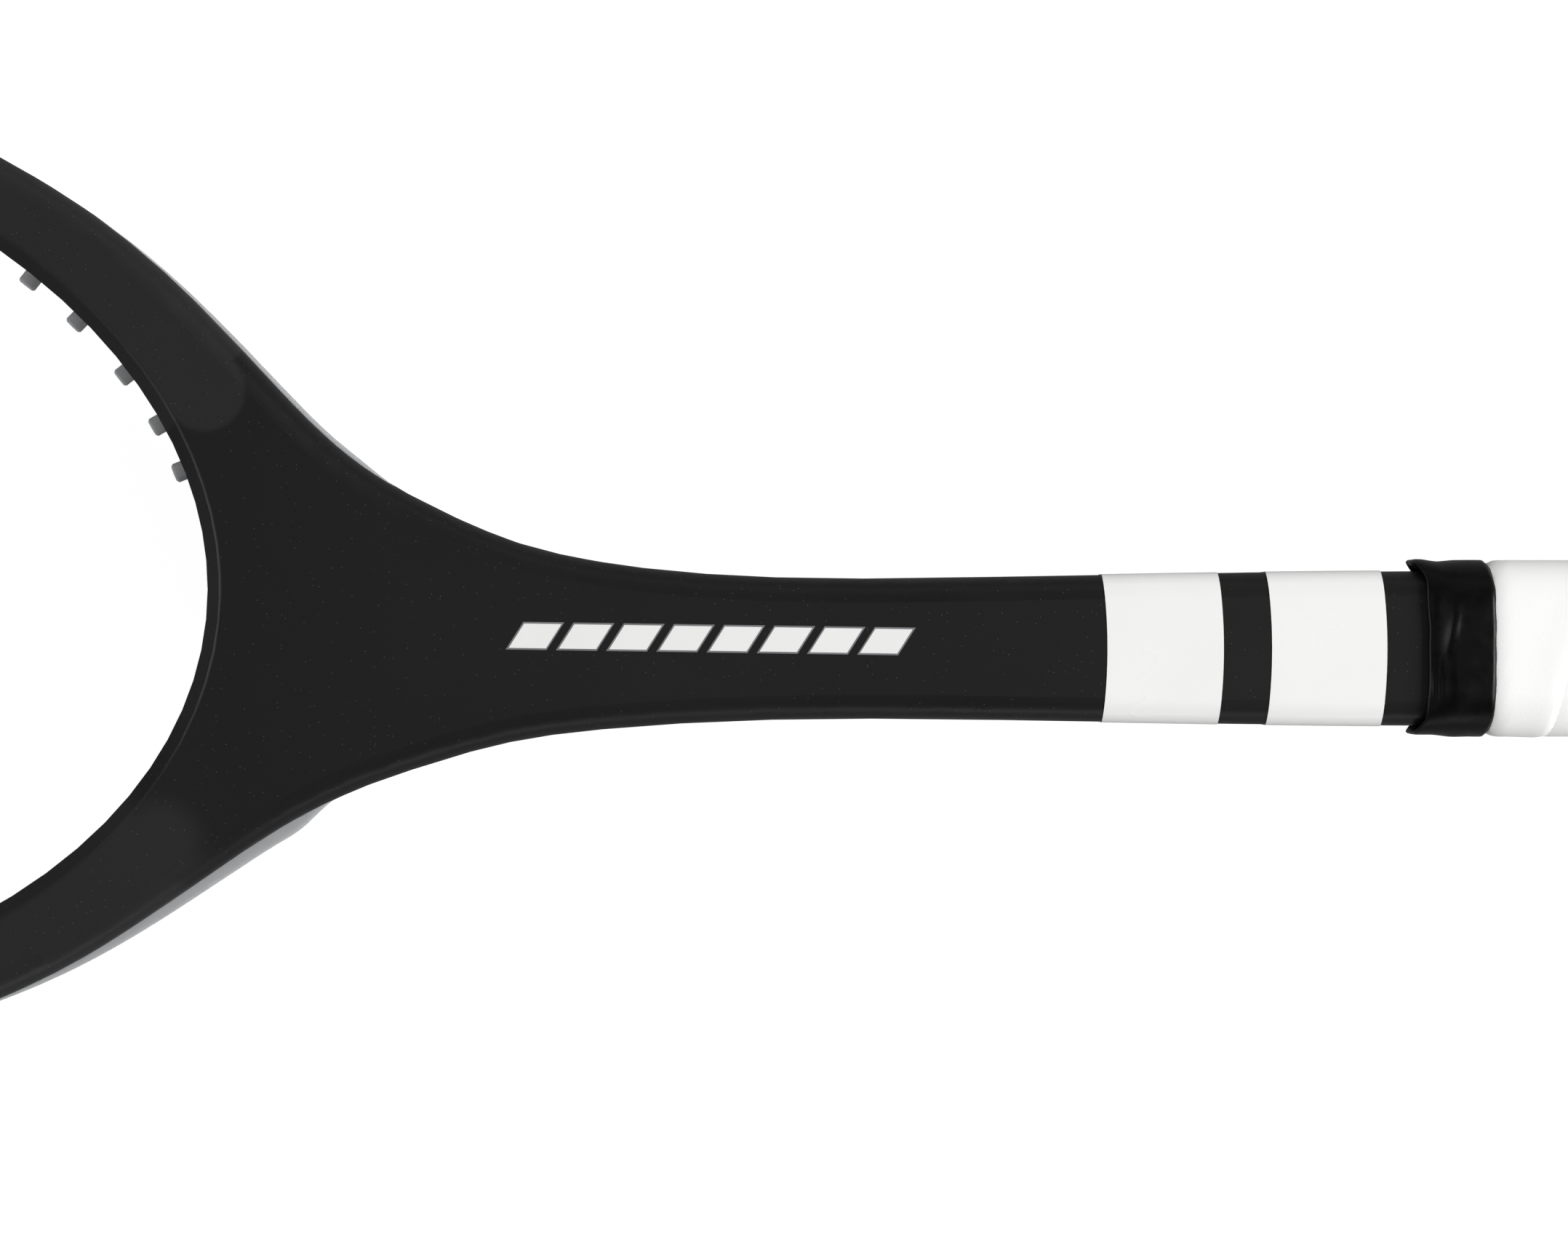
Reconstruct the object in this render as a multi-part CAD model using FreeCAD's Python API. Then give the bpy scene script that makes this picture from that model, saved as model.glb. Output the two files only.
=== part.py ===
"""Squash racket, unstrung, with a canted head: composite frame, grommets, handle and grip.

Frame of the part: the origin is the centre of the butt's flat end, +X runs up the handle
to the head, +Z points out of the decorated face, and +Y is the left side of the racket
when the head is held up. The head leans from the shaft's line towards -Y.
"""
import FreeCAD, Part
import math
import os
from FreeCAD import Vector

# ---------------------------------------------------------------- driving dimensions (mm)
# Head
OPENING_LENGTH = 239.0        # inside the hoop, along the head's own axis
OPENING_WIDTH = 156.9         # inside the hoop, across
HOOP_WIDTH = 11.6             # the hoop's section, measured in the plane of the head
SHOULDER_STRETCH = 9.0         # the outer ellipse is this much longer on its throat side
BEAM = 20.0                   # thickness of the whole frame, front to back
HEAD_CANT = 5.8               # degrees between the shaft's line and the head's axis

# Throat and shaft
BUTT_TO_BEND = 385.1          # from the butt to where the two axes meet
BEND_TO_OPENING = 49.8        # from there to the near end of the head's opening
BEND_RADIUS = 895.0           # of the centre line, through the bend
FLANK_ANGLE = 44.8            # ellipse angle where the hoop's outside becomes the flank
THROAT_STATIONS = (           # (distance from the bend towards the head, half width)
    (44.0, 42.9), (26.0, 29.2), (11.0, 22.15), (-3.0, 17.3), (-20.0, 14.25), (-45.0, 12.4),
)
WAIST_AT = 85.0               # distance from the bend to the slimmest part of the shaft
WAIST_HALF_WIDTH = 12.33
SHAFT_HALF_WIDTH = 13.35      # where the shaft enters the handle
EDGE_RADIUS = 4.2             # rounding of the frame's outer edges
INNER_CHAMFER = 2.4           # facet around the opening, measured on the face and the wall
CREASE_RADIUS = 0.9           # where that facet meets the face

# Frame wall and core
SIDE_WALL = 1.6               # behind the groove and around the shaft
FACE_WALL = 1.8               # front and back skins
HOLE_WALL = 2.0               # the wall around the opening
CORE_RADIUS = 1.6             # rounding of the core's long edges

# Grommets
GROOVE_WIDTH = 5.6
GROOVE_DEPTH = 1.6
STRIP_WIDTH = 5.0
STRIP_THICKNESS = 1.3
STRIP_FLOOR_GAP = 0.05        # between a seated strip and the floor of its groove
BARREL_RADIUS = 1.7
BORE_RADIUS = 1.0
BARREL_CLEARANCE = 0.1        # between a barrel and the hole it passes through
BARREL_CHAMFER = 0.35
THROAT_HOLE_ANGLES = (19.0, 25.1, 31.9, 39.5, 45.8)   # ellipse angles, degrees
HOLE_PITCH = 10.8             # along the rest of the hoop
BUMPER_HALF_ANGLE = 54.0      # of the hoop that the bumper covers, each way from the tip
BUMPER_THICKNESS = 2.0
BUMPER_WIDTH = 16.4
BUMPER_REACH = 2.2            # how far its barrels stand into the opening
STRIP_GAP = 0.6               # between the bumper's ends and the strips
STRIPS = {                    # a strip lies loose until it is strung: each sits its own way
    "left": {"side": 1, "end": 25.5, "bow": 2.3, "reach": 1.2, "drawn": 42.0},
    "right": {"side": -1, "end": 14.2, "bow": 0.9, "reach": 2.4, "drawn": 0.0},
}
DRAWN_REACH = -0.4            # barrels at ellipse angles under "drawn" are pulled back this far
SEAT_LIFT = 1.2               # where a strip bows more than this its foot is thicker instead
BOW_RISE = 12.0               # the bow's highest point, from the strip's throat end
BOW_FALL = 90.0               # and from there to where the strip is seated again

# Handle
HANDLE_LENGTH = 221.7         # pallets, from the butt
PALLET_WIDTH = 27.4
PALLET_THICKNESS = 22.6
PALLET_CORNER = 6.5
TANG_WIDTH = 21.0
TANG_THICKNESS = 16.0
TANG_CORNER = 4.0
TANG_WALL = 1.8
TANG_OVERLAP = 6.0            # how far the tang runs into the full shaft
GLUE_GAP = 0.05               # between glued or sleeved faces

# Butt
CAP_END = 3.2                 # thickness of the cap's end wall
CAP_LIP = 4.0                 # length of the bare lip at the butt
CAP_LENGTH = 28.0
CAP_SKIRT = 0.9
CAP_TAPER = 6.0               # beyond the skirt, where the tape comes down to the pallets
CAP_FLARE = ((9.0, 2.5), (16.0, 1.2), (22.0, 0.4))    # (distance from butt, growth)
FLARE_HEIGHT = 3.0            # growth at the lip
LIP_RADIUS = 1.4
BADGE_LENGTH = 19.0
BADGE_WIDTH = 14.0
BADGE_THICKNESS = 1.0
TACK_RADIUS = 0.55
TACK_HEAD_RADIUS = 1.4
TACK_HEAD_THICKNESS = 0.4
TACK_LENGTH = 3.2
TACKS_AT = 24.0               # from the butt
PLUG_LENGTH = 16.0
WEIGHT_LENGTH = 14.0
FILL_GAP = 0.3                # around the weight and the plug, and between them

# Grip
TAPE_THICKNESS = 1.6
TAPE_END = 212.6              # where the collar starts
STAPLE_CROWN = 8.0
STAPLE_LEG = 3.4
STAPLE_WIRE = 0.6
STAPLE_AT = 12.0
FINISHING_TAPE = 0.25
COLLAR_WALL = 1.4
COLLAR_END = 224.8
COLLAR_LIP_RADIUS = 0.5

# Markings
FILM = 0.12
BANDS = {"outer": (259.5, 279.5), "inner": (231.4, 251.2)}    # from the butt
BAND_BOW = 1.1                # how far a band's edges swing away from the butt at its sides
DECAL_BARS = 8
DECAL_START = 313.0
DECAL_LENGTH = 69.0
DECAL_HEIGHT = 4.2
DECAL_MIDDLE_Y = -1.7
DECAL_TILT = 0.85             # degrees
DECAL_LEAN = 1.3              # how far a bar's two ends are out of line
DECAL_GAP = 2.2

# ---------------------------------------------------------------- the two axes
CANT = math.radians(HEAD_CANT)
A = OPENING_LENGTH / 2
B = OPENING_WIDTH / 2
FORWARD = Vector(math.cos(CANT), -math.sin(CANT), 0)
SIDEWAYS = Vector(math.sin(CANT), math.cos(CANT), 0)
BEND = Vector(BUTT_TO_BEND, 0, 0)
HEAD_CENTRE = BEND + FORWARD * (BEND_TO_OPENING + A)
BEND_TANGENT = BEND_RADIUS * math.tan(CANT / 2)
UP = Vector(0, 0, 1)
LONG = 1000.0                 # longer than any part of the racket
OVERRUN = 5.0                 # how far a drill passes beyond what it cuts


def centre_line(distance):
    """Point and side direction on the centre line, by distance from the bend."""
    if distance <= -BEND_TANGENT:
        return BEND + Vector(distance, 0, 0), Vector(0, 1, 0)
    if distance >= BEND_TANGENT:
        return BEND + FORWARD * distance, SIDEWAYS
    turn = CANT * (distance + BEND_TANGENT) / (2 * BEND_TANGENT)
    side = Vector(math.sin(turn), math.cos(turn), 0)
    start = BEND - Vector(BEND_TANGENT, 0, 0)
    centre = start - Vector(0, BEND_RADIUS, 0)
    return centre + side * BEND_RADIUS, side


def station(distance, half_width, side):
    """Point on one flank of the throat or shaft; side is 1 or -1."""
    point, across = centre_line(distance)
    return point + across * (side * half_width)


def on_ellipse(angle, long_half, wide_half, side=1):
    """Point at an ellipse angle, in degrees from the throat end, on one side."""
    t = math.radians(angle)
    along = FORWARD * (-long_half * math.cos(t))
    return HEAD_CENTRE + along + SIDEWAYS * (side * wide_half * math.sin(t))


def ellipse_arc(from_angle, to_angle, long_half, wide_half, side):
    middle = (from_angle + to_angle) / 2
    points = [on_ellipse(t, long_half, wide_half, side) for t in (from_angle, middle, to_angle)]
    major, minor = FORWARD * long_half, SIDEWAYS * wide_half
    if long_half < wide_half:
        major, minor = minor, major
    ellipse = Part.Ellipse(HEAD_CENTRE + major, HEAD_CENTRE + minor, HEAD_CENTRE)
    first, last = ellipse.parameter(points[0]), ellipse.parameter(points[2])
    arc = Part.ArcOfEllipse(ellipse, first, last)
    if arc.toShape().distToShape(Part.Vertex(points[1]))[0] > 1.0:
        arc = Part.ArcOfEllipse(ellipse, last, first)
    return arc.toShape()


# ---------------------------------------------------------------- the frame's outline
def tip_half(grow):
    return A + HOOP_WIDTH + grow


def shoulder_half(grow):
    return A + HOOP_WIDTH + SHOULDER_STRETCH + grow


def side_half(grow):
    return B + HOOP_WIDTH + grow


def flank(side, grow):
    """Smooth edge from the hoop's shoulder down to the butt end of the shaft."""
    first = on_ellipse(FLANK_ANGLE, shoulder_half(grow), side_half(grow), side)
    t = math.radians(FLANK_ANGLE)
    leaving = FORWARD * (-shoulder_half(grow) * math.sin(t))
    leaving = leaving + SIDEWAYS * (-side * side_half(grow) * math.cos(t))
    widths = THROAT_STATIONS + ((-WAIST_AT, WAIST_HALF_WIDTH),)
    points = [first] + [station(d, w + grow, side) for d, w in widths]
    last = Vector(HANDLE_LENGTH, side * (SHAFT_HALF_WIDTH + grow), 0)
    points.append(last)
    spline = Part.BSplineCurve()
    spline.interpolate(Points=points, InitialTangent=leaving.normalize(),
                       FinalTangent=Vector(-1, 0, 0), Scale=False)
    return spline.toShape()


def outline(grow):
    """Closed outer outline of the frame, grown sideways."""
    edges = []
    for side in (1, -1):
        edges.append(ellipse_arc(90, 180, tip_half(grow), side_half(grow), side))
        edges.append(ellipse_arc(FLANK_ANGLE, 90, shoulder_half(grow), side_half(grow), side))
        edges.append(flank(side, grow))
    left = Vector(HANDLE_LENGTH, SHAFT_HALF_WIDTH + grow, 0)
    right = Vector(HANDLE_LENGTH, -SHAFT_HALF_WIDTH - grow, 0)
    edges.append(Part.makeLine(left, right))
    return Part.Wire(Part.__sortEdges__(edges))


def opening_wire(grow):
    arcs = [ellipse_arc(0, 180, A + grow, B + grow, side) for side in (1, -1)]
    return Part.Wire(Part.__sortEdges__(arcs))


def slab(wire, thickness):
    """Prism of a closed flat outline, centred on the plane of the racket."""
    face = Part.Face(wire)
    face.translate(UP * (-thickness / 2))
    return face.extrude(UP * thickness)


def middle_of(edge):
    return edge.valueAt((edge.FirstParameter + edge.LastParameter) / 2)


def opening_ratio(point):
    """How far out a point is: 1 on the opening's edge, more in the hoop."""
    arm = point - HEAD_CENTRE
    return math.hypot(arm.dot(FORWARD) / A, arm.dot(SIDEWAYS) / B)


def face_edges(solid, thickness, inner):
    """Edges of the front and back faces: around the opening, or around the outside."""
    halfway = 1 + HOOP_WIDTH / OPENING_WIDTH
    found = []
    for edge in solid.Edges:
        middle = middle_of(edge)
        flat = edge.BoundBox.ZLength < 1e-4 and abs(abs(middle.z) - thickness / 2) < 1e-4
        across_end = abs(middle.x - HANDLE_LENGTH) < 1e-3
        if flat and not across_end and (opening_ratio(middle) < halfway) == inner:
            found.append(edge)
    return found


def blank(side_grow, face_grow, hole_grow, radius):
    """The frame as one solid with rounded edges; each face moved out by its own amount."""
    thickness = BEAM + 2 * face_grow
    body = slab(outline(side_grow), thickness)
    body = body.cut(slab(opening_wire(hole_grow), 2 * thickness))
    return body.makeFillet(radius, face_edges(body, thickness, False))


def frame_blank():
    """The outer shape of the frame, with the creased facet around its opening."""
    body = blank(0, 0, 0, EDGE_RADIUS)
    body = body.makeChamfer(INNER_CHAMFER, face_edges(body, BEAM, True))
    return body.makeFillet(CREASE_RADIUS, face_edges(body, BEAM, True))


# ---------------------------------------------------------------- sections of the handle
def section(x, width, thickness, corner):
    """Rounded rectangle across the handle at one place."""
    y, z = width / 2, thickness / 2
    c = min(corner, 0.98 * y, 0.98 * z)
    d = c * (1 - math.sqrt(0.5))
    edges = []
    for sy, sz in ((1, 1), (-1, 1), (-1, -1), (1, -1)):
        first = Vector(x, sy * y, sz * (z - c))
        middle = Vector(x, sy * (y - d), sz * (z - d))
        last = Vector(x, sy * (y - c), sz * z)
        edges.append(Part.Arc(first, middle, last).toShape())
    for sign in (1, -1):
        edges.append(Part.makeLine(Vector(x, y - c, sign * z), Vector(x, c - y, sign * z)))
        edges.append(Part.makeLine(Vector(x, sign * y, z - c), Vector(x, sign * y, c - z)))
    return Part.Wire(Part.__sortEdges__(edges))


def bar(x_from, x_to, width, thickness, corner):
    face = Part.Face(section(x_from, width, thickness, corner))
    return face.extrude(Vector(x_to - x_from, 0, 0))


def pallet_bar(x_from, x_to, grow):
    width = PALLET_WIDTH + 2 * grow
    return bar(x_from, x_to, width, PALLET_THICKNESS + 2 * grow, PALLET_CORNER + grow)


def butt_loft(grow, tapered):
    """The flared end of the handle, over the cap; tapered runs it down to the pallets."""
    stations = [(CAP_LIP, FLARE_HEIGHT)] + list(CAP_FLARE) + [(CAP_LENGTH, 0.0)]
    if tapered:
        stations.append((CAP_LENGTH + CAP_TAPER, -CAP_SKIRT))
    wires = []
    for x, rise in stations:
        out = grow + CAP_SKIRT + rise
        width = PALLET_WIDTH + 2 * out
        wires.append(section(x, width, PALLET_THICKNESS + 2 * out, PALLET_CORNER + out))
    return Part.makeLoft(wires, True, False)


def handle_solid(grow):
    """The whole handle over cap and pallets, up to the collar, grown outwards."""
    plain = pallet_bar(CAP_LENGTH + CAP_TAPER, TAPE_END, grow)
    return butt_loft(grow, True).fuse(plain)


def x_slab(x_from, x_to):
    side = 4 * OPENING_WIDTH
    return Part.makeBox(x_to - x_from, side, side, Vector(x_from, -side / 2, -side / 2))


# ---------------------------------------------------------------- string holes
def opening_normal(angle, side):
    """Direction out of the opening, square to its edge."""
    t = math.radians(angle)
    out = FORWARD * (-math.cos(t) / A) + SIDEWAYS * (side * math.sin(t) / B)
    return out.normalize()


def arc_step(angle):
    """Length of the opening's edge for one degree, at an angle."""
    t = math.radians(angle)
    return math.radians(1) * math.hypot(A * math.sin(t), B * math.cos(t))


def tip_angle():
    """Ellipse angle of the bumper's ends."""
    turn = math.radians(BUMPER_HALF_ANGLE)
    return 180 - math.degrees(math.atan2(A * math.sin(turn), B * math.cos(turn)))


def spread(first, last):
    """Angles at even steps along the opening's edge, past first and short of last."""
    span, angle = 0.0, first
    while angle < last:
        span += arc_step(angle) * 0.5
        angle += 0.5
    steps = max(1, round(span / HOLE_PITCH))
    step_length = span / steps
    angles, travelled, angle = [], 0.0, first
    while len(angles) < steps - 1:
        travelled += arc_step(angle) * 0.25
        angle += 0.25
        if travelled >= step_length:
            travelled -= step_length
            angles.append(angle)
    return angles


def strip_angles():
    return list(THROAT_HOLE_ANGLES) + spread(THROAT_HOLE_ANGLES[-1], tip_angle())


def bumper_angles():
    beside_tip = 180 - math.degrees(HOLE_PITCH / B) / 2
    return spread(tip_angle(), beside_tip) + [beside_tip]


def side_path(side, grow, strip_end):
    """The hoop's outside and the flank down to a strip's end, as points from the tip."""
    tip = ellipse_arc(90, 180, tip_half(grow), side_half(grow), side)
    shoulder = ellipse_arc(FLANK_ANGLE, 90, shoulder_half(grow), side_half(grow), side)
    lower = flank(side, grow)
    points = []
    target = on_ellipse(180, tip_half(grow), side_half(grow), side)
    for edge in (tip, shoulder, lower):
        run = edge.discretize(Distance=1.0)
        if (run[0] - target).Length > (run[-1] - target).Length:
            run.reverse()
        points += run if not points else run[1:]
        target = points[-1]
    stop = station(strip_end, 0, side).x
    return [p for p in points if p.x > stop]


def outward(points, index, side):
    """Direction out of the racket at one of the points of a path from tip to throat."""
    before = points[max(index - 1, 0)]
    after = points[min(index + 1, len(points) - 1)]
    return (after - before).cross(UP).normalize() * side


def bow(run_from_end, height):
    """How far a loose strip stands off its seat, by distance from its throat end."""
    if run_from_end < BOW_RISE:
        return height * math.sin(math.pi / 2 * run_from_end / BOW_RISE) ** 2
    over = (run_from_end - BOW_RISE) / BOW_FALL
    return height * math.cos(math.pi / 2 * over) ** 2 if over < 1 else 0.0


def strip_line(data):
    """Seat line of one strip, with its bow, from the tip to the throat."""
    path = side_path(data["side"], 0, data["end"])
    runs = [0.0]
    for first, second in zip(path[::-1], path[-2::-1]):
        runs.append(runs[-1] + (second - first).Length)
    runs.reverse()
    line = []
    for i, point in enumerate(path):
        out = outward(path, i, data["side"])
        line.append((point, out, bow(runs[i], data["bow"])))
    return line


def curve_edge(points, spacing=6):
    """Spline through every few points, always with the last one."""
    chosen = points[::spacing]
    if (chosen[-1] - points[-1]).Length > 1e-6:
        if (chosen[-1] - points[-1]).Length < spacing * 0.5:
            chosen.pop()
        chosen.append(points[-1])
    spline = Part.BSplineCurve()
    spline.interpolate(Points=chosen)
    return spline.toShape()


def hole_depth(start, direction, line):
    """Distance from the opening's edge to a seat line, along a hole, and the bow there."""
    best = min(line, key=lambda item: (item[0] - start).cross(direction).Length
               + (1000 if (item[0] - start).dot(direction) < 0 else 0))
    return (best[0] - start).dot(direction), best[2]


def barrel_pair(start, direction, depth, reach):
    """A barrel and its bore, from inside the opening to the strip's own thickness."""
    tail = start - direction * reach
    barrel = Part.makeCylinder(BARREL_RADIUS, depth + reach, tail, direction)
    rim = [e for e in barrel.Edges if e.Closed and e.CenterOfMass.sub(tail).Length < 1e-3]
    barrel = barrel.makeChamfer(BARREL_CHAMFER, rim)
    length = depth + reach + 4 * OVERRUN
    bore = Part.makeCylinder(BORE_RADIUS, length, tail - direction * 2 * OVERRUN, direction)
    return barrel, bore


def drilled_hole(start, direction, depth):
    radius = BARREL_RADIUS + BARREL_CLEARANCE
    return Part.makeCylinder(radius, depth + 2 * OVERRUN, start - direction * OVERRUN, direction)


def make_strip(data):
    """One side's strip with its barrels; also the holes it needs in the frame."""
    line = strip_line(data)
    seat = STRIP_FLOOR_GAP - GROOVE_DEPTH
    inner = [p + n * (seat + min(b, SEAT_LIFT)) for p, n, b in line]
    outer = [p + n * (seat + STRIP_THICKNESS + b) for p, n, b in line]
    edges = [curve_edge(inner), curve_edge(outer)]
    edges += [Part.makeLine(inner[0], outer[0]), Part.makeLine(inner[-1], outer[-1])]
    strip = slab(Part.Wire(Part.__sortEdges__(edges)), STRIP_WIDTH)
    strip = strip.cut(bumper_wedge(STRIP_GAP))
    holes, bores = [], []
    for angle in strip_angles():
        start = on_ellipse(angle, A, B, data["side"])
        direction = opening_normal(angle, data["side"])
        depth, lift = hole_depth(start, direction, line)
        end = depth + seat + lift + STRIP_THICKNESS / 2
        reach = DRAWN_REACH if angle < data["drawn"] else data["reach"]
        barrel, bore = barrel_pair(start, direction, end, reach)
        strip = strip.fuse(barrel)
        bores.append(bore)
        holes.append(drilled_hole(start, direction, depth))
    strip = strip.cut(Part.makeCompound(bores))
    return strip, holes


def bumper_wedge(gap):
    """The sector of the head that the bumper covers, widened by a gap."""
    half = math.radians(BUMPER_HALF_ANGLE)
    reach = OPENING_LENGTH
    shift = FORWARD * (-gap / math.sin(half))
    corner = HEAD_CENTRE + shift
    left = corner + (FORWARD * math.cos(half) + SIDEWAYS * math.sin(half)) * reach
    right = corner + (FORWARD * math.cos(half) - SIDEWAYS * math.sin(half)) * reach
    wire = Part.makePolygon([corner, left, right, corner])
    return slab(wire, 4 * BEAM)


def make_bumper(frame_body):
    ring = slab(outline(BUMPER_THICKNESS), BUMPER_WIDTH)
    ring = ring.cut(frame_body)
    ring = ring.cut(slab(outline(-HOOP_WIDTH / 2), 2 * BEAM))
    floor = STRIP_FLOOR_GAP - GROOVE_DEPTH
    tongue = slab(outline(0.5), STRIP_WIDTH)
    tongue = tongue.cut(slab(outline(floor), BEAM))
    bumper = ring.fuse(tongue).common(bumper_wedge(0))
    path = [(p, None, 0.0) for p in side_path(1, 0, 0)]
    path += [(p, None, 0.0) for p in side_path(-1, 0, 0)]
    holes, bores = [], []
    for angle in bumper_angles():
        for side in (1, -1):
            start = on_ellipse(angle, A, B, side)
            direction = opening_normal(angle, side)
            depth, _ = hole_depth(start, direction, path)
            barrel, bore = barrel_pair(start, direction, depth - GROOVE_DEPTH / 2, BUMPER_REACH)
            bumper = bumper.fuse(barrel)
            bores.append(bore)
            holes.append(drilled_hole(start, direction, depth))
    return bumper.cut(Part.makeCompound(bores)), holes


def half_head(side, stop):
    """Everything on one side of the head's axis, beyond a place on the shaft's line."""
    near, far = HEAD_CENTRE - FORWARD * LONG, HEAD_CENTRE + FORWARD * LONG
    out = SIDEWAYS * (side * LONG)
    half = slab(Part.makePolygon([near, far, far + out, near + out, near]), 4 * BEAM)
    return half.common(x_slab(stop, LONG))


def make_groove():
    """What the groove takes away around the outside, down to each strip's throat end."""
    grown = slab(outline(HOOP_WIDTH), GROOVE_WIDTH)
    ring = grown.cut(slab(outline(-GROOVE_DEPTH), 2 * BEAM))
    halves = []
    for data in STRIPS.values():
        stop = station(data["end"] - STRIP_GAP, 0, data["side"]).x
        halves.append(ring.common(half_head(data["side"], stop)))
    return Part.makeCompound(halves)


# ---------------------------------------------------------------- the pieces
def make_frame(bare_frame, holes):
    """The composite frame: hoop, closed throat, shaft and the tang inside the handle."""
    tang = bar(PLUG_START, HANDLE_LENGTH + TANG_OVERLAP, TANG_WIDTH, TANG_THICKNESS, TANG_CORNER)
    hollow = tang_hollow(PLUG_START - 1)
    shell = bare_frame.cut(make_groove()).fuse(tang)
    shell = shell.cut(make_core_blank()).cut(hollow)
    return shell.cut(Part.makeCompound(holes))


def tang_hollow(x_from, gap=0.0):
    """The space inside the tang, up to where the core begins."""
    width = TANG_WIDTH - 2 * (TANG_WALL + gap)
    thickness = TANG_THICKNESS - 2 * (TANG_WALL + gap)
    corner = TANG_CORNER - TANG_WALL - gap
    return bar(x_from, CORE_START, width, thickness, corner)


def make_core_blank():
    """The space inside the shaft, throat and hoop."""
    side = -(GROOVE_DEPTH + SIDE_WALL)
    core = blank(side, -FACE_WALL, HOLE_WALL, CORE_RADIUS)
    core = core.makeFillet(CORE_RADIUS, face_edges(core, BEAM - 2 * FACE_WALL, True))
    return core.common(x_slab(CORE_START, LONG))


def make_pallets():
    """Two handle halves glued around the tang, parted at the racket's plane."""
    whole = pallet_bar(CAP_END, HANDLE_LENGTH, 0)
    inner = TANG_WIDTH + 2 * GLUE_GAP
    whole = whole.cut(bar(0, LONG, inner, TANG_THICKNESS + 2 * GLUE_GAP, TANG_CORNER + GLUE_GAP))
    size = 2 * PALLET_WIDTH
    corner = Vector(0, -size / 2, GLUE_GAP / 2)
    front = whole.common(Part.makeBox(LONG, size, size, corner))
    corner.z = -GLUE_GAP / 2 - size
    back = whole.common(Part.makeBox(LONG, size, size, corner))
    return front, back


def make_tacks():
    """Small nails through the cap's skirt, one on each face of the handle."""
    tacks = []
    faces = ((Vector(0, 1, 0), PALLET_WIDTH), (Vector(0, -1, 0), PALLET_WIDTH),
             (Vector(0, 0, 1), PALLET_THICKNESS), (Vector(0, 0, -1), PALLET_THICKNESS))
    for out, across in faces:
        seat = Vector(TACKS_AT, 0, 0) + out * (across / 2 + CAP_SKIRT - TACK_HEAD_THICKNESS)
        head = Part.makeCylinder(TACK_HEAD_RADIUS, TACK_HEAD_THICKNESS, seat, out)
        nail = Part.makeCylinder(TACK_RADIUS, TACK_LENGTH, seat - out * TACK_LENGTH, out)
        tacks.append(head.fuse(nail))
    return tacks


def make_cap(tacks):
    """Rubber cap over the pallets' end, flared, with a bare lip at the butt."""
    cap = butt_loft(0, False)
    out = CAP_SKIRT + FLARE_HEIGHT + TAPE_THICKNESS
    width, thickness = PALLET_WIDTH + 2 * out, PALLET_THICKNESS + 2 * out
    lip = bar(0, CAP_LIP, width, thickness, PALLET_CORNER + out)
    rims = [e for e in lip.Edges if e.BoundBox.XLength < 1e-6]
    lip = lip.makeFillet(LIP_RADIUS, rims)
    cap = cap.fuse(lip)
    cap = cap.cut(pallet_bar(CAP_END, LONG, GLUE_GAP))
    cap = cap.cut(badge_blank(GLUE_GAP))
    for tack in tacks:
        cap = cap.cut(tack)
    return cap


def badge_blank(grow):
    """Oval badge let into the butt's end."""
    corner = BADGE_WIDTH / 2
    thickness = BADGE_THICKNESS + grow
    return bar(0, thickness, BADGE_LENGTH + 2 * grow, BADGE_WIDTH + 2 * grow, corner + grow)


def make_staple():
    """Staple that holds the start of the tape on the cap's back."""
    base = -(PALLET_THICKNESS / 2 + CAP_SKIRT + CAP_FLARE[1][1] + STAPLE_WIRE)
    crown = Part.makeBox(STAPLE_WIRE, STAPLE_CROWN, STAPLE_WIRE,
                         Vector(STAPLE_AT, -STAPLE_CROWN / 2, base))
    legs = []
    for y in (-STAPLE_CROWN / 2, STAPLE_CROWN / 2 - STAPLE_WIRE):
        corner = Vector(STAPLE_AT, y, base)
        legs.append(Part.makeBox(STAPLE_WIRE, STAPLE_WIRE, STAPLE_LEG, corner))
    return crown.fuse(legs).removeSplitter()


def make_tape(staple):
    """The wound grip, as one plain sleeve over the cap and the pallets."""
    tape = handle_solid(TAPE_THICKNESS).cut(handle_solid(0))
    return tape.cut(staple)


def bowed_slab(x_from, x_to):
    """Everything between two places along the shaft, with both ends bowed the same way."""
    y = SHAFT_HALF_WIDTH + 1
    arcs = []
    for x in (x_from, x_to):
        left, right = Vector(x + BAND_BOW, y, 0), Vector(x + BAND_BOW, -y, 0)
        arcs.append(Part.Arc(left, Vector(x, 0, 0), right).toShape())
    sides = []
    for sign in (1, -1):
        near, far = Vector(x_from + BAND_BOW, sign * y, 0), Vector(x_to + BAND_BOW, sign * y, 0)
        sides.append(Part.makeLine(near, far))
    return slab(Part.Wire(Part.__sortEdges__(arcs + sides)), 4 * BEAM)


def shaft_band(x_from, x_to):
    """Film of lacquer around the shaft between two places."""
    grown = blank(FILM, FILM, 0, EDGE_RADIUS + FILM)
    return grown.common(bowed_slab(x_from, x_to)).cut(blank(0, 0, 0, EDGE_RADIUS))


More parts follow.
